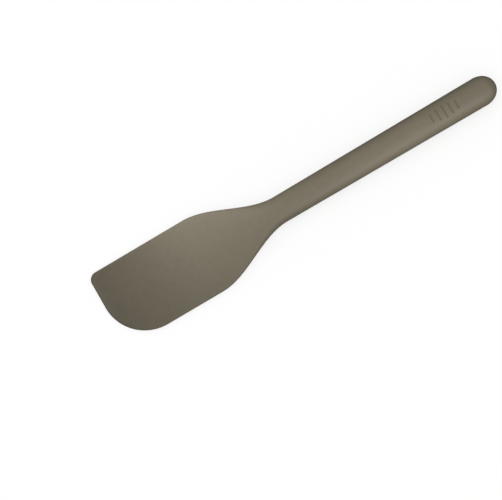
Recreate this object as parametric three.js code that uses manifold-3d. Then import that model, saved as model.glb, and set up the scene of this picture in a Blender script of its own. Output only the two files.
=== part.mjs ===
// Silicone spatula: a flexible blade and an oval handle moulded in one, over a stiff nylon core.
// The first silicone shot is the whole visible body. The core lies in a channel in its back,
// silicone rivets pass through the core's holes, and a second shot seals the channel flush.
// Millimetres, +Z up out of the front face, +X from the blade's tip to the handle's end.
// The back lies on Z = 0, and the origin is under the middle of the spatula's box.

import * as THREE from 'three';
import { mergeVertices } from 'three/addons/utils/BufferGeometryUtils.js';
import Module from 'manifold-3d';

const wasm = await Module();
wasm.setup();

// Outline, seen from the front
const overallLength = 290;
const bladeWidth = 53.8;
const bladeSideLength = 71; // the blade's straight sides, from the tip
const shoulderLength = 58.5; // the S-curve from those sides to the neck
const neckWidth = 18.3;
const handleEndWidth = 20;
const handleEndLength = 11.7; // of the handle's rounded end
const tightCornerRadius = 5.5; // the blade corner that scrapes square edges
const roundCornerRadius = 30; // the blade corner that follows a bowl

// Thickness, seen from the side
const tipThickness = 1.8;
const shoulderThickness = 3.4; // where the blade's straight sides end
const neckThickness = 10.2;
const handleThickness = 12; // at the handle's end
const tipRound = 0.9; // how far the tip's edge rounds in
const handleEndRound = 6.5; // how far the handle's end rounds in, seen from the side

// Cross-section: a crowned front over a flat back with rounded lower corners
const bladeCrown = 6; // superellipse exponent of the blade's flat front
const handleCrown = 2.6; // and of the handle's oval front
const bladeBackRound = 1.2; // width of the blade's lower corner
const handleBackRound = 5; // and of the handle's
const edgeShare = 0.45; // height of the widest line, as a share of the thickness

// Nylon core in its channel
const tongueLength = 38; // core past the neck, into the blade
const tongueWidth = 22;
const tongueThickness = 1.4;
const tongueFlare = 3; // softens the corner where the tongue runs into the neck
const frontWall = 2.4; // silicone over the core's front
const handleEndWall = 6; // silicone past the core's rear end
const beamWall = 1.8; // side walls of the core's hollow beam
const beamFloor = 2; // its floor
const pocketLength = 20;
const pocketRib = 3; // rib between two pockets
const pocketCorner = 1.5;
const pocketNeckOffset = 6; // from the neck to the first pocket
const rivetDiameter = 5; // holes through the tongue that the silicone fills
const rivetSpacing = 9.6; // across the tongue
const rivetPitch = 9.5; // along the tongue
const rivetInset = 6.5; // from the tongue's tip to the first row
const rivetRows = [2, 2, 1]; // rivets in each row, from the tip

// Back seal, the second shot
const sealThickness = 1.2;
const sealLap = 1; // seat of the seal around the channel
const sealLip = 1.2; // silicone between the seal and the handle's side
const fitGap = 0.3; // between pieces that are moulded on to each other

// Facets of the curved surfaces
const frontFacets = 22; // across the front
const backCornerFacets = 4; // on each lower corner
const roundStations = 9; // cross-sections on each rounded end or corner
const shoulderStations = 20; // along the shoulders
const straightStations = 5; // along each straight stretch
const coreEndSegments = 14; // half the facets of the core's round ends
const holeSegments = 8; // half the facets of a hole
const pocketCornerSegments = 2; // half the facets of a pocket's corner
const weldDistance = 1e-4;

const silicone = new THREE.MeshStandardMaterial({ color: 0x7a7363, roughness: 0.62, metalness: 0 });
const glassFilledNylon = new THREE.MeshStandardMaterial({ color: 0x3a3936, roughness: 0.5, metalness: 0 });

const { lerp, clamp, smoothstep } = THREE.MathUtils;
const neckX = bladeSideLength + shoulderLength;
const landHeight = sealThickness + fitGap; // the seal's seat, level with the core's back
const tongueTipX = neckX - tongueLength;
const coreEndX = overallLength - handleEndWall;
const coreEndRadius = coreHalf(coreEndX);

// 0 on the blade, 1 on the handle, an even S between them
function shoulderShare(x) {
  return smoothstep(x, bladeSideLength, neckX);
}

// How far a quarter round of this radius draws a side in, this far from the end
function roundInset(distance, radius) {
  return distance < radius ? radius - Math.sqrt(radius ** 2 - (radius - distance) ** 2) : 0;
}

// Half the width between the straight sides, the shoulders and the handle's slow flare
function sideHalf(x) {
  const flare = clamp((x - neckX) / (overallLength - neckX), 0, 1);
  return lerp(bladeWidth / 2, lerp(neckWidth, handleEndWidth, flare) / 2, shoulderShare(x));
}

// Centre and half-width of the outline, with the blade's two corners and the handle's rounded end
function outlineAt(x) {
  const left = sideHalf(x) - roundInset(x, tightCornerRadius);
  const right = sideHalf(x) - roundInset(x, roundCornerRadius);
  const endShare = 1 - roundInset(overallLength - x, handleEndLength) / handleEndLength;
  return { centre: (left - right) / 2, half: ((left + right) / 2) * endShare };
}

// Height of the front face over the middle of the back, before the ends are rounded:
// a straight taper on the blade, a rise through the shoulders and a slow taper on the handle
function frontHeight(x) {
  const bladeSlope = (shoulderThickness - tipThickness) / bladeSideLength;
  const handleSlope = (handleThickness - neckThickness) / (overallLength - neckX);
  if (x < bladeSideLength) return tipThickness + bladeSlope * x;
  if (x > neckX) return neckThickness + handleSlope * (x - neckX);
  const t = (x - bladeSideLength) / shoulderLength;
  const startPull = bladeSlope * shoulderLength * t * (1 - t) ** 2;
  const endPull = handleSlope * shoulderLength * t ** 2 * (1 - t);
  return lerp(shoulderThickness, neckThickness, t ** 2 * (3 - 2 * t)) + startPull - endPull;
}

// Width of the rounded lower corner, which shrinks with a narrowing end
function backRound(x) {
  return Math.min(lerp(bladeBackRound, handleBackRound, shoulderShare(x)), outlineAt(x).half / 2);
}

// One cross-section as a closed ring, front face first, then the back
function sectionRing(x) {
  const { centre, half } = outlineAt(x);
  const height = frontHeight(x);
  const edge = edgeShare * height;
  const tipClose = 1 - roundInset(x, tipRound) / tipRound;
  const endClose = 1 - roundInset(overallLength - x, handleEndRound) / handleEndRound;
  const power = 2 / lerp(bladeCrown, handleCrown, shoulderShare(x));
  const corner = backRound(x);
  const at = (y, z) => new THREE.Vector3(x, centre + y, edge + (z - edge) * tipClose * endClose);
  const ring = [];
  for (let i = 0; i <= frontFacets; i++) {
    const angle = (Math.PI * i) / frontFacets;
    const across = Math.sign(Math.cos(angle)) * Math.abs(Math.cos(angle)) ** power;
    ring.push(at(half * across, edge + (height - edge) * Math.sin(angle) ** power));
  }
  for (const side of [-1, 1]) {
    for (let i = 1; i <= backCornerFacets; i++) {
      const step = side < 0 ? i : backCornerFacets - i + 1;
      const angle = (Math.PI / 2) * (step / backCornerFacets);
      ring.push(at(side * (half - corner * (1 - Math.cos(angle))), edge * (1 - Math.sin(angle))));
    }
  }
  return ring;
}

// Where the cross-sections stand: close together on the rounds, wide apart on the straights
function bodyStations() {
  const stations = [];
  const arc = (start, reach) => {
    for (let i = 0; i < roundStations; i++) {
      const angle = (Math.PI / 2) * ((i + 0.5) / roundStations);
      stations.push(start + reach * (1 - Math.cos(angle)));
    }
  };
  const run = (steps, start, end) => {
    for (let i = 0; i <= steps; i++) stations.push(lerp(start, end, i / steps));
  };
  arc(0, tipRound);
  arc(0, tightCornerRadius);
  arc(0, roundCornerRadius);
  run(straightStations, roundCornerRadius, bladeSideLength);
  run(shoulderStations, bladeSideLength, neckX);
  run(straightStations, neckX, overallLength - handleEndLength);
  arc(overallLength, -handleEndLength);
  const closest = tipRound / roundStations;
  return stations.sort((a, b) => a - b).filter((x, i, all) => i === 0 || x - all[i - 1] > closest);
}

// A closed skin through rings of equal length, with a fan from each end's point
function loft(rings, startPoint, endPoint) {
  const count = rings[0].length;
  const points = rings.flat();
  const index = [];
  for (let r = 0; r + 1 < rings.length; r++) {
    for (let i = 0; i < count; i++) {
      const [a, b] = [r * count + i, r * count + ((i + 1) % count)];
      index.push(a, b, a + count, b, b + count, a + count);
    }
  }
  const lastRing = points.length - count;
  const startHub = points.push(startPoint) - 1;
  const endHub = points.push(endPoint) - 1;
  for (let i = 0; i < count; i++) {
    const next = (i + 1) % count;
    index.push(startHub, next, i);
    index.push(endHub, lastRing + i, lastRing + next);
  }
  return new THREE.BufferGeometry().setFromPoints(points).setIndex(index);
}

// A closed geometry as a solid that can be cut and joined
function solidOf(geometry) {
  const plain = geometry.clone().deleteAttribute('normal').deleteAttribute('uv');
  const merged = mergeVertices(plain, weldDistance);
  const mesh = new wasm.Mesh({
    numProp: 3,
    vertProperties: new Float32Array(merged.attributes.position.array),
    triVerts: new Uint32Array(merged.index.array),
  });
  return new wasm.Manifold(mesh);
}

// A named mesh of a solid
function meshOf(name, solid, material) {
  const { vertProperties, triVerts } = solid.getMesh();
  const geometry = new THREE.BufferGeometry();
  geometry.setAttribute('position', new THREE.BufferAttribute(vertProperties, 3));
  geometry.setIndex(new THREE.BufferAttribute(triVerts, 1));
  geometry.computeVertexNormals();
  const mesh = new THREE.Mesh(geometry, material);
  mesh.name = name;
  return mesh;
}

// A plan shape raised from one height to another
function upright(shape, low, high, curveSegments) {
  const options = { depth: high - low, bevelEnabled: false, curveSegments };
  return solidOf(new THREE.ExtrudeGeometry(shape, options).translate(0, 0, low));
}

// The lesser of two sizes, with the crossing rounded over this reach
function softMin(a, b, reach) {
  const overlap = Math.max(reach - Math.abs(a - b), 0) / reach;
  return Math.min(a, b) - (overlap ** 2 * reach) / 4;
}

// Half-width of the body at the height of the seal's seat
function halfAtLand(x) {
  const rise = clamp(1 - landHeight / (edgeShare * frontHeight(x)), 0, 1);
  return sideHalf(x) - backRound(x) * (1 - Math.sqrt(1 - rise ** 2));
}

// Half-width of the core between its round ends: the tongue, then a wall's width inside the body
function coreHalf(x) {
  return softMin(tongueWidth / 2, halfAtLand(x) - sealLip - sealLap, tongueFlare);
}

// The core's plan, grown all round: half-round tongue tip, curved sides, half-round rear end
function corePlan(grow) {
  const tipRadius = coreHalf(tongueTipX + tongueWidth / 2);
  const tipCentre = tongueTipX + tipRadius;
  const endCentre = coreEndX - coreEndRadius;
  const shape = new THREE.Shape();
  shape.absarc(endCentre, 0, coreEndRadius + grow, -Math.PI / 2, Math.PI / 2);
  const sides = [];
  for (let i = 0; i < shoulderStations; i++) {
    const x = lerp(neckX, tipCentre, i / shoulderStations);
    sides.push(new THREE.Vector2(x, coreHalf(x) + grow));
  }
  sides.forEach((p) => shape.lineTo(p.x, p.y));
  shape.absarc(tipCentre, 0, tipRadius + grow, Math.PI / 2, (3 * Math.PI) / 2);
  sides.reverse().forEach((p) => shape.lineTo(p.x, -p.y));
  return shape;
}

// The core's side view, grown all round: a flat back, and a front that follows the silicone's front
function coreProfile(grow) {
  const shape = new THREE.Shape();
  const [start, end] = [tongueTipX - sealLap, coreEndX + sealLap];
  const top = (x) => Math.max(landHeight + tongueThickness, frontHeight(x) - frontWall) + grow;
  shape.moveTo(end, landHeight - grow);
  shape.lineTo(end, top(end));
  for (let i = 0; i <= shoulderStations; i++) {
    const x = lerp(neckX, start, i / shoulderStations);
    shape.lineTo(x, top(x));
  }
  shape.lineTo(start, landHeight - grow);
  const options = { depth: bladeWidth, bevelEnabled: false };
  const geometry = new THREE.ExtrudeGeometry(shape, options);
  return solidOf(geometry.rotateX(Math.PI / 2).translate(0, bladeWidth / 2, 0));
}

function roundedRectangle(centreX, length, width, corner) {
  const [x, y] = [length / 2 - corner, width / 2 - corner];
  const shape = new THREE.Shape();
  shape.absarc(centreX + x, y, corner, 0, Math.PI / 2);
  shape.absarc(centreX - x, y, corner, Math.PI / 2, Math.PI);
  shape.absarc(centreX - x, -y, corner, Math.PI, (3 * Math.PI) / 2);
  shape.absarc(centreX + x, -y, corner, (3 * Math.PI) / 2, 2 * Math.PI);
  return shape;
}

// Pockets down the core's handle beam, open to the front
function corePockets(grow) {
  const start = neckX + pocketNeckOffset;
  const pitch = pocketLength + pocketRib;
  const count = Math.floor((coreEndX - coreEndRadius + pocketRib - start) / pitch);
  const width = 2 * (coreHalf(neckX) - beamWall);
  return Array.from({ length: count }, (_, i) => {
    const centre = start + pitch * i + pocketLength / 2;
    const shape = roundedRectangle(centre, pocketLength - 2 * grow, width - 2 * grow, pocketCorner);
    return upright(shape, landHeight + beamFloor + grow, handleThickness, pocketCornerSegments);
  });
}

// Rivet holes through the tongue: two rows of two, and one towards the neck
function coreHoles(grow) {
  const holes = [];
  rivetRows.forEach((count, row) => {
    for (let i = 0; i < count; i++) {
      const hole = new THREE.Shape();
      const x = tongueTipX + rivetInset + rivetPitch * row;
      hole.absarc(x, (i - (count - 1) / 2) * rivetSpacing, rivetDiameter / 2 - grow, 0, 2 * Math.PI);
      holes.push(upright(hole, 0, handleThickness, holeSegments));
    }
  });
  return holes;
}

// The nylon core, or with grow the channel that it leaves in the silicone
function coreSolid(grow) {
  const blank = upright(corePlan(grow), 0, handleThickness, coreEndSegments).intersect(coreProfile(grow));
  return [...corePockets(grow), ...coreHoles(grow)].reduce((core, cut) => core.subtract(cut), blank);
}

// Everything below the seal's seat, inside the seal's outline
function sealRegion(grow, top) {
  return upright(corePlan(grow), -sealThickness, top, coreEndSegments);
}

const tipPoint = new THREE.Vector3(0, outlineAt(0).centre, edgeShare * tipThickness);
const endPoint = new THREE.Vector3(overallLength, 0, edgeShare * handleThickness);
const skin = solidOf(loft(bodyStations().map(sectionRing), tipPoint, endPoint));
const body = skin.subtract(sealRegion(sealLap, landHeight)).subtract(coreSolid(fitGap));
const seal = skin.intersect(sealRegion(sealLap - fitGap, sealThickness));

const spatula = new THREE.Group();
spatula.add(
  meshOf('silicone_body', body, silicone),
  meshOf('nylon_core', coreSolid(0), glassFilledNylon),
  meshOf('back_seal', seal, silicone),
);
spatula.position.x = -overallLength / 2;

export default spatula;
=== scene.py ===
import math

import bmesh
import bpy
import numpy as np
from mathutils import Matrix, Vector


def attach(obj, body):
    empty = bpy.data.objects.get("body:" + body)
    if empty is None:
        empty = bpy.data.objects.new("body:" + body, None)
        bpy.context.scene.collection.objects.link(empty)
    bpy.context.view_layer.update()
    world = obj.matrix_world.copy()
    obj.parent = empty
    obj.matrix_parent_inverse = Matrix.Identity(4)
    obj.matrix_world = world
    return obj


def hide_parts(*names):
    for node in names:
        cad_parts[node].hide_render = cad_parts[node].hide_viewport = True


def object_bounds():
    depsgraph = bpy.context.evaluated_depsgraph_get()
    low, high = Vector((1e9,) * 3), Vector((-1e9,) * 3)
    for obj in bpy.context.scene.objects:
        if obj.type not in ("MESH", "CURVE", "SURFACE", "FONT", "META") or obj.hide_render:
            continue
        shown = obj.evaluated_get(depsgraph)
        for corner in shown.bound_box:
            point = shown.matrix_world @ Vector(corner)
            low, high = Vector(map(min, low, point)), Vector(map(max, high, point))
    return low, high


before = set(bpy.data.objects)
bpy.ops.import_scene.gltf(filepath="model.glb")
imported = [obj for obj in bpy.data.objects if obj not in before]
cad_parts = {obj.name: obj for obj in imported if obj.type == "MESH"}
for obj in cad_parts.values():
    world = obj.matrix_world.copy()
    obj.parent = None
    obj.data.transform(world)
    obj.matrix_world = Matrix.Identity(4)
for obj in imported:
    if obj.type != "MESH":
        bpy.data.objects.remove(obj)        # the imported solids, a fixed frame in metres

cadLow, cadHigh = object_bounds()
mm = 0.001
print("frame loaded:", sorted(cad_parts))


# Small helpers on whole arrays

def evenS(t):  # 0 to 1 with flat ends: 3t^2 - 2t^3
    t = np.clip(t, 0.0, 1.0)
    return t * t * (3.0 - 2.0 * t)


def mixed(a, b, t):  # a where t is 0, b where t is 1, in proportion between
    return a + (b - a) * t


def softMin(a, b, reach):  # the lesser of two, with a parabola over the crossing
    overlap = np.maximum(reach - np.abs(a - b), 0.0) / reach
    return np.minimum(a, b) - overlap * overlap * reach / 4


def roundInset(distance, radius):  # how far a quarter round draws a side in, this far from the end
    rest = np.clip(radius - distance, 0.0, radius)
    return radius - np.sqrt(radius * radius - rest * rest)


def roundSteps(reach, count):  # 0 to reach as on a quarter round, close together at the start
    return reach * (1.0 - np.cos(np.linspace(0.0, math.pi / 2, count)))


# Silicone body: blade, shoulders, neck and handle in one
# u runs along the length from the blade's tip, across from the middle line to the sides

bodyForm = dict(
    length=cadHigh.x - cadLow.x,
    bladeWidth=cadHigh.y - cadLow.y,
    bladeSide=71 * mm,          # the blade's straight sides, from the tip
    shoulder=58.5 * mm,         # the S-curve from there to the neck
    neckWidth=18.3 * mm,
    handleEndWidth=20 * mm,
    handleEndLength=11.7 * mm,
    tightCorner=5.5 * mm,
    roundCorner=30 * mm,
    tipThickness=1.8 * mm,
    shoulderThickness=3.4 * mm,
    neckThickness=10.2 * mm,
    handleThickness=12 * mm,
    tipRound=0.9 * mm,
    handleEndRound=6.5 * mm,    # of the front, seen from the side
    bladeCrown=6.0,             # superellipse exponents of the front
    handleCrown=2.6,
    bladeBackRound=1.2 * mm,    # width of the lower corners
    handleBackRound=5.0 * mm,
    edgeShare=0.45,             # height of the widest line over the thickness
    tipFlat=0.01,               # first station, as a share of the tip's round
    leastAhead=1.0e-9,          # keeps a division off zero past the blade's corners
    partingRise=0.05 * mm,      # fine ridge along the widest line, where the mould's halves met
    partingWidth=0.15 * mm,
    partingFocus=8,             # keeps the ridge to the sides
    frontPoints=155,
    backPoints=28,
    backCrowding=4,             # draws the back's points out to its rounded corners
)
neckAt = bodyForm["bladeSide"] + bodyForm["shoulder"]

# Rings along each stretch of the body
ringCounts = dict(
    tip=16,
    tightCorner=22,
    roundCorner=40,
    blade=18,
    shoulder=72,
    handle=30,                  # up to the grip
    grip=170,
    pastGrip=6,
    end=40,
    channelTip=18,
    channelEnd=14,
)
ringSpacing = 0.05 * mm         # the closest two rings stand, but for the channel's walls

# Channel in the back, for the core and the seal over it
channelForm = dict(
    coreGap=0.3 * mm,
    coreTongue=38 * mm,         # core past the neck, into the blade
    coreWidth=22 * mm,          # across the tongue
    coreFlare=3 * mm,
    coreTongueThickness=1.4 * mm,
    frontWall=2.4 * mm,
    endWall=6 * mm,
    sealThickness=1.2 * mm,
    sealLap=1.0 * mm,
    sealLip=1.2 * mm,
    seam=0.14 * mm,             # the line that shows round the seal
    wallStep=1.0e-6,            # an upright end wall's two rings stand this far to each side of it
)
landHeight = channelForm["sealThickness"] + channelForm["coreGap"]

# Five short grip grooves across the front, near the handle's end
gripForm = dict(
    middle=252 * mm,
    count=5,
    pitch=4.6 * mm,
    width=1.4 * mm,
    depth=0.55 * mm,
    longest=10.5 * mm,
    shorter=1.5 * mm,           # each step out from the middle groove
)

# Where use shows: the scraping edges go smooth and pale, and along the tip's edge the pale band is also
# painted light, the light that the tip's sloping edge catches
wearAndLightForm = dict(
    tipReach=3.2 * mm,
    sideReach=1.6 * mm,
    sideShare=0.5,
)


def shoulderShare(u):  # 0 on the blade, 1 on the handle
    return evenS((u - bodyForm["bladeSide"]) / bodyForm["shoulder"])


def sideHalf(u):  # half the width between the sides: blade, S-curve, slowly flaring handle
    flare = np.clip((u - neckAt) / (bodyForm["length"] - neckAt), 0.0, 1.0)
    handle = mixed(bodyForm["neckWidth"], bodyForm["handleEndWidth"], flare) / 2
    return mixed(bodyForm["bladeWidth"] / 2, handle, shoulderShare(u))


def openOutline(u):  # centre and half-width of the sides, less the blade's two corner rounds
    left = sideHalf(u) - roundInset(u, bodyForm["tightCorner"])
    right = sideHalf(u) - roundInset(u, bodyForm["roundCorner"])
    return (left - right) / 2, (left + right) / 2


def endShare(u):  # 0 along the body, rising to 1 over the length of the handle's end
    return np.clip(1.0 - (bodyForm["length"] - u) / bodyForm["handleEndLength"], 0.0, 1.0)


def bodyOutline(u):  # the open outline, closed by a half ellipse at the handle's end
    centre, half = openOutline(u)
    return centre, half * np.sqrt(1.0 - endShare(u) ** 2)


def frontHeight(u):  # straight taper, cubic rise with matched slopes, straight taper
    form = bodyForm
    bladeSlope = (form["shoulderThickness"] - form["tipThickness"]) / form["bladeSide"]
    handleSlope = (form["handleThickness"] - form["neckThickness"]) / (form["length"] - neckAt)
    t = np.clip((u - form["bladeSide"]) / form["shoulder"], 0.0, 1.0)
    pull = bladeSlope * t * (1 - t) ** 2 - handleSlope * t ** 2 * (1 - t)
    rise = mixed(form["shoulderThickness"], form["neckThickness"], evenS(t)) + form["shoulder"] * pull
    blade = form["tipThickness"] + bladeSlope * u
    handle = form["neckThickness"] + handleSlope * (u - neckAt)
    return np.where(u < form["bladeSide"], blade, np.where(u > neckAt, handle, rise))


def backRound(u, half):  # width of the rounded lower corner, at most half of the half-width
    wanted = mixed(bodyForm["bladeBackRound"], bodyForm["handleBackRound"], shoulderShare(u))
    return np.minimum(wanted, half / 2)


# 1 on the body, falling to 0 over the tip's rounded edge, which narrows round the corner towards the side
def cornerClosing(u, out, corner):
    ahead = np.maximum(corner - u, bodyForm["leastAhead"])
    aside = np.maximum(out - (sideHalf(u) - corner), 0.0)
    reach = np.hypot(ahead, aside)    # from the corner's centre
    width = bodyForm["tipRound"] * ahead / reach
    return 1.0 - roundInset(corner - reach, width) / width


def tipClosing(u, across):  # the lesser of the two corners' closings, the tight corner on the positive side
    tight = cornerClosing(u, across, bodyForm["tightCorner"])
    wide = cornerClosing(u, -across, bodyForm["roundCorner"])
    return np.minimum(tight, wide)


def endClosing(u):  # 1 along the body, falling to 0 as the front of the handle's end rounds in
    endRound = bodyForm["handleEndRound"]
    return 1.0 - roundInset(bodyForm["length"] - u, endRound) / endRound


# Flat, with a quarter ellipse all round up to the widest line: turn is 0 where it starts, 1 on the outline
def backHeight(u, across):
    edge = bodyForm["edgeShare"] * frontHeight(u)
    centre, half = openOutline(u)
    out = np.sqrt(endShare(u) ** 2 + (across / half) ** 2)
    turn = np.clip(1.0 - (1.0 - out) * half / backRound(u, half), 0.0, 1.0)
    low = edge * (1.0 - np.sqrt(1.0 - turn * turn))
    return edge + (low - edge) * tipClosing(u, centre + across)


def coreHalf(u):  # the tongue's width, or the body's at the seal's height less the lip and the lap
    edge = bodyForm["edgeShare"] * frontHeight(u)
    rise = np.clip(1.0 - landHeight / edge, 0.0, 1.0)
    corner = backRound(u, bodyOutline(u)[1])    # as in the solids, narrower by the handle's end
    atLand = sideHalf(u) - corner * (1.0 - np.sqrt(1.0 - rise * rise))
    inside = atLand - channelForm["sealLip"] - channelForm["sealLap"]
    return softMin(channelForm["coreWidth"] / 2, inside, channelForm["coreFlare"])


coreTipAt = neckAt - channelForm["coreTongue"]
coreEndAt = bodyForm["length"] - channelForm["endWall"]
coreTipRadius = float(coreHalf(np.array(coreTipAt + channelForm["coreWidth"] / 2)))
coreEndRadius = float(coreHalf(np.array(coreEndAt)))


# The core's plan, grown all round: half-round ends, curved tongue, straight handle sides
def planHalf(u, grow):
    tipCentre = coreTipAt + coreTipRadius
    endCentre = coreEndAt - coreEndRadius
    tip = np.sqrt(np.clip((coreTipRadius + grow) ** 2 - (u - tipCentre) ** 2, 0.0, None))
    end = np.sqrt(np.clip((coreEndRadius + grow) ** 2 - (u - endCentre) ** 2, 0.0, None))
    handle = mixed(coreHalf(neckAt), coreEndRadius, (u - neckAt) / (endCentre - neckAt))
    sides = np.where(u < neckAt, coreHalf(u), handle) + grow
    return np.where(u < tipCentre, tip, np.where(u > endCentre, end, sides))


def channelTop(u):  # a front wall's depth under the front, never thinner than the tongue
    tongue = landHeight + channelForm["coreTongueThickness"]
    return np.maximum(tongue, frontHeight(u) - channelForm["frontWall"]) + channelForm["coreGap"]


def gripDepth(u, across):  # each groove: a cosine dip along the length, faded out at its two ends
    grip = gripForm
    depth = np.zeros(np.broadcast(u, across).shape)
    for i in range(grip["count"]):
        step = i - (grip["count"] - 1) / 2
        half = (grip["longest"] - grip["shorter"] * abs(step)) / 2
        along = np.clip((u - grip["middle"] - step * grip["pitch"]) / (grip["width"] / 2), -1.0, 1.0)
        fade = evenS((half - np.abs(across)) / (grip["width"] / 2))
        depth = depth + grip["depth"] * (0.5 + 0.5 * np.cos(math.pi * along)) * fade
    return depth


def edgeWearAndLight(u, inset):  # a bell curve of the distance from the blade's tip or, weaker, from its sides; at the tip this band is painted light as well as edge wear
    tip = np.exp(-(u / wearAndLightForm["tipReach"]) ** 2)
    sides = wearAndLightForm["sideShare"] * np.exp(-(inset / wearAndLightForm["sideReach"]) ** 2)
    return np.maximum(tip, sides) * (1.0 - shoulderShare(u))


def partingRidge(lift):  # a bell curve of the height over or under the widest line
    return np.exp(-(lift / bodyForm["partingWidth"]) ** 2)


def bodyStations():  # close together where the form turns, with a pair at each end wall of the channel
    form = bodyForm
    count = ringCounts
    gripReach = gripForm["pitch"] * gripForm["count"] / 2
    gripFrom = gripForm["middle"] - gripReach
    gripTo = gripForm["middle"] + gripReach
    endFrom = form["length"] - form["handleEndLength"]
    parts = [
        roundSteps(form["tipRound"], count["tip"]),
        roundSteps(form["tightCorner"], count["tightCorner"]),
        roundSteps(form["roundCorner"], count["roundCorner"]),
        np.linspace(form["roundCorner"], form["bladeSide"], count["blade"]),
        np.linspace(form["bladeSide"], neckAt, count["shoulder"]),
        np.linspace(neckAt, gripFrom, count["handle"]),
        np.linspace(gripFrom, gripTo, count["grip"]),
        np.linspace(gripTo, endFrom, count["pastGrip"]),
        form["length"] - roundSteps(form["handleEndLength"], count["end"]),
    ]
    fixed = [form["tipFlat"] * form["tipRound"], form["length"]]
    for grow in (channelForm["sealLap"], channelForm["coreGap"]):
        tip = coreTipAt - grow
        end = coreEndAt + grow
        fixed += [tip - channelForm["wallStep"], tip + channelForm["wallStep"]]
        fixed += [end - channelForm["wallStep"], end + channelForm["wallStep"]]
        parts.append(tip + roundSteps(coreTipRadius + grow, count["channelTip"])[1:])
        parts.append(end - roundSteps(coreEndRadius + grow, count["channelEnd"])[1:])
    u = np.unique(np.round(np.concatenate(parts) / ringSpacing)) * ringSpacing
    fixed = np.array(fixed)
    clear = np.abs(u[:, None] - fixed[None, :]).min(axis=1) > ringSpacing / 2
    return np.sort(np.concatenate([u[clear & (u < form["length"])], fixed]))


def bodySurface():  # a closed ring at each station: superellipse front, rounded back, and the channel's notch
    form = bodyForm
    u = bodyStations()[:, None]
    centre, half = bodyOutline(u)
    height = frontHeight(u)
    edge = form["edgeShare"] * height
    power = mixed(form["bladeCrown"], form["handleCrown"], shoulderShare(u))
    angle = np.linspace(0.0, math.pi, form["frontPoints"])[None, :]
    cosine = np.cos(angle)
    sine = np.sin(angle)
    radius = (np.abs(cosine) ** power + np.abs(sine) ** power) ** (-1.0 / power)
    ridge = np.minimum(form["partingRise"], half)
    sideways = radius * cosine
    closing = tipClosing(u, centre + half * sideways) * endClosing(u)
    lift = (height - edge) * radius * sine * closing
    atRidge = partingRidge(lift) * sideways ** form["partingFocus"]
    frontY = (half - ridge * (1.0 - atRidge)) * sideways
    frontZ = edge + lift - gripDepth(u, frontY)
    inPocket = (u > coreTipAt - channelForm["sealLap"]) & (u < coreEndAt + channelForm["sealLap"])
    inChannel = (u > coreTipAt - channelForm["coreGap"]) & (u < coreEndAt + channelForm["coreGap"])
    pocket = np.where(inPocket, planHalf(u, channelForm["sealLap"]), 0.0)
    channel = np.where(inChannel, planHalf(u, channelForm["coreGap"]), 0.0)
    share = np.linspace(0.0, 1.0, form["backPoints"])[None, 1:] ** form["backCrowding"]
    backY = half - (half - pocket) * share
    backZ = backHeight(u, backY)
    backY = backY - ridge * (1.0 - partingRidge(edge - backZ)) * (1.0 - share)
    rim = backZ[:, -1:]
    land = np.where(inPocket, landHeight, rim)
    roof = np.where(inChannel, channelTop(u), land)
    notchY = np.concatenate([pocket, channel, channel], axis=1)
    notchZ = np.concatenate([land, land, roof], axis=1)
    ringY = np.concatenate([frontY, -backY, -notchY, notchY[:, ::-1], backY[:, ::-1]], axis=1)
    ringZ = np.concatenate([frontZ, backZ, notchZ, notchZ[:, ::-1], backZ[:, ::-1]], axis=1)
    ringX = np.broadcast_to(u + cadLow.x, ringY.shape)
    points = np.stack([ringX, ringY + centre, ringZ], axis=-1)
    # the mask of the pale edges: edge wear, and along the tip's edge painted light
    return points, {"edgeWearAndLight": edgeWearAndLight(u, half - np.abs(ringY))}


# Back seal: rings along each stretch, and points across
sealForm = dict(
    tipRings=40,
    tongueRings=60,
    handleRings=60,
    endRings=30,
    pointsAcross=41,
)


def sealSurface():  # a strip between the back's own surface and a flat top, with half-round ends
    form = sealForm
    grow = channelForm["sealLap"] - channelForm["seam"]
    tipReach = coreTipRadius + grow
    endReach = coreEndRadius + grow
    tip = coreTipAt - grow
    end = coreEndAt + grow
    u = np.concatenate([
        tip + roundSteps(tipReach, form["tipRings"]),
        np.linspace(tip + tipReach, neckAt, form["tongueRings"])[1:],
        np.linspace(neckAt, end - endReach, form["handleRings"])[1:],
        end - roundSteps(endReach, form["endRings"])[::-1][1:],
    ])[:, None]
    across = np.sin(np.linspace(-math.pi / 2, math.pi / 2, form["pointsAcross"]))[None, :] * planHalf(u, grow)
    low = backHeight(u, across)
    top = np.full_like(low, channelForm["sealThickness"])
    ringY = np.concatenate([across, across[:, ::-1]], axis=1)
    ringZ = np.concatenate([low, top], axis=1)
    ringX = np.broadcast_to(u + cadLow.x, ringY.shape)
    return np.stack([ringX, ringY, ringZ], axis=-1), {}


# Meshes from rings
meshForm = dict(
    merge=0.2e-6,               # points nearer than this are one
    sharpAngle=40,              # edges that turn more than this stay crisp
)


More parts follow.
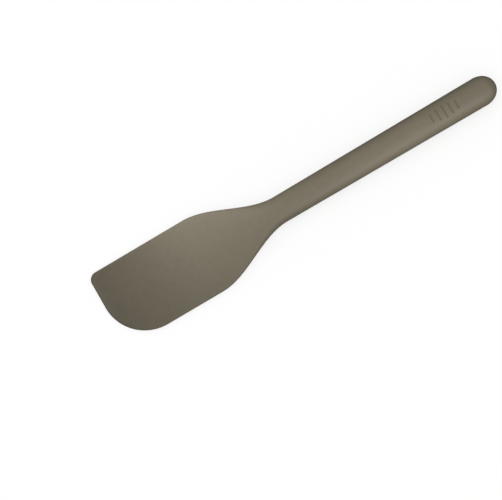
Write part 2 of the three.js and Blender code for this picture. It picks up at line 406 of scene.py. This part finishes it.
def ringMesh(name, points, traits):  # quads between rings, a polygon over each end, doubles merged
    rings, count = points.shape[:2]
    index = np.arange(rings * count).reshape(rings, count)
    after = np.roll(index, -1, axis=1)
    quads = np.stack([index[:-1], after[:-1], after[1:], index[1:]], axis=-1).reshape(-1, 4)
    faces = quads.tolist() + [index[0, ::-1].tolist(), index[-1].tolist()]
    mesh = bpy.data.meshes.new(name)
    mesh.from_pydata(points.reshape(-1, 3).tolist(), [], faces)
    for trait, values in traits.items():
        layer = mesh.attributes.new(trait, "FLOAT", "POINT")
        layer.data.foreach_set("value", values.ravel().astype(np.float32))
    work = bmesh.new()
    work.from_mesh(mesh)
    bmesh.ops.remove_doubles(work, verts=work.verts, dist=meshForm["merge"])
    bmesh.ops.dissolve_degenerate(work, edges=work.edges, dist=meshForm["merge"])
    bmesh.ops.recalc_face_normals(work, faces=work.faces)
    work.to_mesh(mesh)
    work.free()
    mesh.polygons.foreach_set("use_smooth", np.ones(len(mesh.polygons), bool))
    mesh.set_sharp_from_angle(angle=math.radians(meshForm["sharpAngle"]))
    mesh.update()
    piece = bpy.data.objects.new(name, mesh)
    bpy.context.scene.collection.objects.link(piece)
    print(name, len(mesh.polygons), "faces")
    return piece


# Materials: sums on sockets add Math nodes

class Wire:  # a node's output
    def __init__(self, bench, socket):
        self.bench = bench
        self.socket = socket

    def sum(self, operation, first, second):
        return self.bench.add("ShaderNodeMath", {"operation": operation}, {0: first, 1: second})

    def __add__(self, other):
        return self.sum("ADD", self, other)

    def __radd__(self, other):
        return self.sum("ADD", other, self)

    def __sub__(self, other):
        return self.sum("SUBTRACT", self, other)

    def __rsub__(self, other):
        return self.sum("SUBTRACT", other, self)

    def __mul__(self, other):
        return self.sum("MULTIPLY", self, other)

    def __rmul__(self, other):
        return self.sum("MULTIPLY", other, self)


class Bench:  # a node tree to add to
    def __init__(self, tree):
        self.tree = tree
        self.tree.nodes.clear()

    def add(self, kind, settings, inputs, output=0):
        node = self.tree.nodes.new(kind)
        for key, value in settings.items():
            if key == "stops":
                for stop, (place, colour) in zip(node.color_ramp.elements, value):
                    stop.position = place
                    stop.color = colour
            else:
                setattr(node, key, value)
        for key, value in inputs.items():
            if isinstance(value, Wire):
                self.tree.links.new(value.socket, node.inputs[key])
            else:
                node.inputs[key].default_value = value
        return Wire(self, node.outputs[output]) if node.outputs else None

    def noise(self, place, scale, detail, roughness):  # 0 to 1 around noiseMean
        sizes = {"Vector": place, "Scale": scale, "Detail": detail, "Roughness": roughness}
        return self.add("ShaderNodeTexNoise", {}, sizes)

    def relief(self, height):  # heights in metres
        return self.add("ShaderNodeBump", {}, {"Height": height, "Distance": 1.0, "Strength": 1.0})


noiseMean = 0.5


def newMaterial(name):
    material = bpy.data.materials.new(name)
    material.use_nodes = True
    return material, Bench(material.node_tree)


siliconeLook = dict(
    deep=(0.149, 0.129, 0.090, 1.0),
    pale=(0.183, 0.160, 0.113, 1.0),
    # pale colour of the scraping edges: edge wear, and along the tip's edge painted light
    wornAndLitEdge=(0.208, 0.183, 0.133, 1.0),
    deepBelow=0.3,              # mottling under this is all deep, over the next all pale
    paleAbove=0.7,
    cloud=dict(scale=38.0, detail=3.0, roughness=0.5),      # slow unevenness of the moulding, about 26 mm
    mottle=dict(scale=260.0, detail=4.0, roughness=0.6),    # flow mottling, about 4 mm
    grain=dict(scale=2600.0, detail=2.0, roughness=0.6),    # the mould's eroded grain, about 0.4 mm
    pores=dict(scale=8000.0, detail=1.0, roughness=0.5),    # and the finest pores in it
    cloudShare=0.25,            # of the colour's mottling
    mottleShare=0.40,
    grainShare=0.35,
    cloudHeight=0.04 * mm,
    grainHeight=0.05 * mm,
    poreHeight=0.012 * mm,
    roughness=0.57,
    roughnessSpread=0.16,
    wornAndLitShare=0.6,
    wornAndLitEven=0.6,               # edge paleness, from wear and painted light, that is the same all along an edge, and wear that follows the mottling
    wornAndLitPatchy=0.8,
    wornPolish=0.16,            # how much smoother the scraping edges are
    wornFlat=0.7,               # share of the grain and pores that use has taken off there
    ior=1.41,
)


def siliconeMaterial():  # colour and roughness from three sizes of mottling, relief from grain and pores
    look = siliconeLook
    material, bench = newMaterial("matteSilicone")
    place = bench.add("ShaderNodeTexCoord", {}, {}, "Object")
    wearAndLight = bench.add("ShaderNodeAttribute", {"attribute_name": "edgeWearAndLight"}, {}, "Fac")
    cloud = bench.noise(place, **look["cloud"])
    mottle = bench.noise(place, **look["mottle"])
    grain = bench.noise(place, **look["grain"])
    pores = bench.noise(place, **look["pores"])
    shade = cloud * look["cloudShare"] + mottle * look["mottleShare"] + grain * look["grainShare"]
    stops = [(look["deepBelow"], look["deep"]), (look["paleAbove"], look["pale"])]
    moulded = bench.add("ShaderNodeValToRGB", {"stops": stops}, {"Fac": shade})
    # painted light and wear: the edges go pale, most of all along the tip's edge, where the pale band stands
    # in for the light that the edge catches
    rubbedAndLit = wearAndLight * (mottle * look["wornAndLitPatchy"] + look["wornAndLitEven"]) * look["wornAndLitShare"]
    colour = bench.add("ShaderNodeMix", {"data_type": "RGBA", "clamp_factor": True}, {
        "Factor": rubbedAndLit, "A": moulded, "B": look["wornAndLitEdge"],
    }, "Result")
    uneven = (cloud + mottle + grain - 3 * noiseMean) * look["roughnessSpread"]
    rough = uneven - rubbedAndLit * look["wornPolish"] + look["roughness"]
    fine = grain * look["grainHeight"] + pores * look["poreHeight"]
    height = fine * (1.0 - wearAndLight * look["wornFlat"]) + cloud * look["cloudHeight"]
    shader = bench.add("ShaderNodeBsdfPrincipled", {}, {
        "Base Color": colour, "Roughness": rough, "Normal": bench.relief(height), "IOR": look["ior"],
    })
    bench.add("ShaderNodeOutputMaterial", {}, {"Surface": shader})
    return material


nylonLook = dict(
    dark=(0.030, 0.029, 0.026, 1.0),
    light=(0.060, 0.058, 0.053, 1.0),
    darkBelow=0.35,
    lightAbove=0.7,
    fibre=dict(scale=420.0, detail=3.0, roughness=0.6),
    fibreDraw=(0.12, 1.0, 1.0),     # stretches the fibres along the length
    fibreHeight=0.02 * mm,
    roughness=0.48,
    roughnessSpread=0.25,
)


def nylonMaterial():  # colour, roughness and relief from one fibre noise drawn out along the length
    look = nylonLook
    material, bench = newMaterial("fibreNylon")
    place = bench.add("ShaderNodeTexCoord", {}, {}, "Object")
    along = bench.add("ShaderNodeMapping", {}, {"Vector": place, "Scale": look["fibreDraw"]})
    fibre = bench.noise(along, **look["fibre"])
    stops = [(look["darkBelow"], look["dark"]), (look["lightAbove"], look["light"])]
    colour = bench.add("ShaderNodeValToRGB", {"stops": stops}, {"Fac": fibre})
    rough = (fibre - noiseMean) * look["roughnessSpread"] + look["roughness"]
    height = fibre * look["fibreHeight"]
    shader = bench.add("ShaderNodeBsdfPrincipled", {}, {
        "Base Color": colour, "Roughness": rough, "Normal": bench.relief(height),
    })
    bench.add("ShaderNodeOutputMaterial", {}, {"Surface": shader})
    return material


silicone = siliconeMaterial()

body = ringMesh("spatulaBody", *bodySurface())
body.data.materials.append(silicone)
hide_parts("silicone_body")
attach(body, "root")

seal = ringMesh("backSeal", *sealSurface())
seal.data.materials.append(silicone)
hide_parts("back_seal")
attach(seal, "root")

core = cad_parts["nylon_core"]
core.data.materials.clear()
core.data.materials.append(nylonMaterial())
print("pieces ready")


# Camera: square to the length, rolled so that the handle points up to the right

cameraView = dict(
    imageSize=(502, 500),
    elevation=79.0,             # above the spatula's plane, from its round corner's side
    roll=30.43,
    scale=1553.0,               # pixels per metre at the spatula
    distance=1.4,
    centrePixel=(300.8, 196.85),    # where the middle of the spatula's box lies in the image
    sensor=36.0,
    nearest=0.05,
)


def addCamera():  # right and up are the image's axes; the aim is the point behind the image's centre
    view = cameraView
    tilt = math.radians(view["elevation"])
    roll = math.radians(view["roll"])
    back = Vector((0.0, -math.cos(tilt), math.sin(tilt)))
    level = Vector((1.0, 0.0, 0.0))
    upright = back.cross(level)
    right = level * math.cos(roll) - upright * math.sin(roll)
    up = level * math.sin(roll) + upright * math.cos(roll)
    middle = (cadLow + cadHigh) / 2
    aside = (view["centrePixel"][0] - view["imageSize"][0] / 2) / view["scale"]
    above = (view["imageSize"][1] / 2 - view["centrePixel"][1]) / view["scale"]
    aim = middle - right * aside - up * above
    data = bpy.data.cameras.new("photoCamera")
    data.sensor_width = view["sensor"]
    data.lens = view["scale"] * view["distance"] * view["sensor"] / max(view["imageSize"])
    data.clip_start = view["nearest"]
    camera = bpy.data.objects.new("photoCamera", data)
    turn = Matrix((right, up, back)).transposed().to_4x4()
    camera.matrix_world = Matrix.Translation(aim + back * view["distance"]) @ turn
    bpy.context.scene.collection.objects.link(camera)
    bpy.context.scene.camera = camera


addCamera()
print("camera ready")


# Stage: a white floor that keeps the shadow, an even surround, and two soft boxes

stageLook = dict(
    floorSize=6.0,
    floorDrop=0.05 * mm,        # keeps the floor clear of the flat back
    floorGrey=0.8,
    skyLevel=0.35,
)

softBoxes = [
    dict(name="bladeBox", place=(-0.065, 0.05, 0.07), aim=(-0.055, 0.015, 0.0), size=0.06, power=0.038),
    dict(name="handleBox", place=(0.09, -0.10, 0.22), aim=(0.08, 0.0, 0.0), size=0.12, power=0.425),
]


def addFloor():  # grey under the sky, plus a glow for the camera that brings the open floor to white
    look = stageLook
    material, bench = newMaterial("paleFloor")
    seen = bench.add("ShaderNodeLightPath", {}, {}, "Is Camera Ray")
    glow = 1.0 - look["floorGrey"] * look["skyLevel"]
    matte = bench.add("ShaderNodeBsdfDiffuse", {}, {"Color": (look["floorGrey"],) * 3 + (1.0,)})
    light = bench.add("ShaderNodeEmission", {}, {"Strength": seen * glow})
    both = bench.add("ShaderNodeAddShader", {}, {0: matte, 1: light})
    bench.add("ShaderNodeOutputMaterial", {}, {"Surface": both})
    half = look["floorSize"] / 2
    drop = cadLow.z - look["floorDrop"]
    corners = [(-half, -half, drop), (half, -half, drop), (half, half, drop), (-half, half, drop)]
    mesh = bpy.data.meshes.new("paleFloor")
    mesh.from_pydata(corners, [], [(0, 1, 2, 3)])
    mesh.materials.append(material)
    floor = bpy.data.objects.new("paleFloor", mesh)
    bpy.context.scene.collection.objects.link(floor)
    return floor


def addSurround():  # white to the camera, an even level as light
    level = stageLook["skyLevel"]
    world = bpy.data.worlds.new("whiteSurround")
    bpy.context.scene.world = world
    world.use_nodes = True
    bench = Bench(world.node_tree)
    seen = bench.add("ShaderNodeLightPath", {}, {}, "Is Camera Ray")
    strength = seen * (1.0 - level) + level
    sky = bench.add("ShaderNodeBackground", {}, {"Color": (1.0, 1.0, 1.0, 1.0), "Strength": strength})
    bench.add("ShaderNodeOutputWorld", {}, {"Surface": sky})


def leftUnlit(floor):  # the soft boxes leave the floor out, so that it stays even
    unlit = bpy.data.collections.new("leftUnlit")
    unlit.objects.link(floor)
    unlit.collection_objects[0].light_linking.link_state = "EXCLUDE"
    return unlit


def addSoftBox(box, unlit):  # a round lamp that the camera doesn't see
    lamp = bpy.data.lights.new(box["name"], "AREA")
    lamp.shape = "DISK"
    lamp.size = box["size"]
    lamp.energy = box["power"]
    holder = bpy.data.objects.new(box["name"], lamp)
    place = Vector(box["place"])
    holder.location = place
    holder.rotation_euler = (Vector(box["aim"]) - place).to_track_quat("-Z", "Y").to_euler()
    holder.visible_camera = False
    holder.light_linking.receiver_collection = unlit
    bpy.context.scene.collection.objects.link(holder)


unlit = leftUnlit(addFloor())
addSurround()
for box in softBoxes:
    addSoftBox(box, unlit)
bpy.context.scene.view_settings.view_transform = "Standard"
print("stage ready")
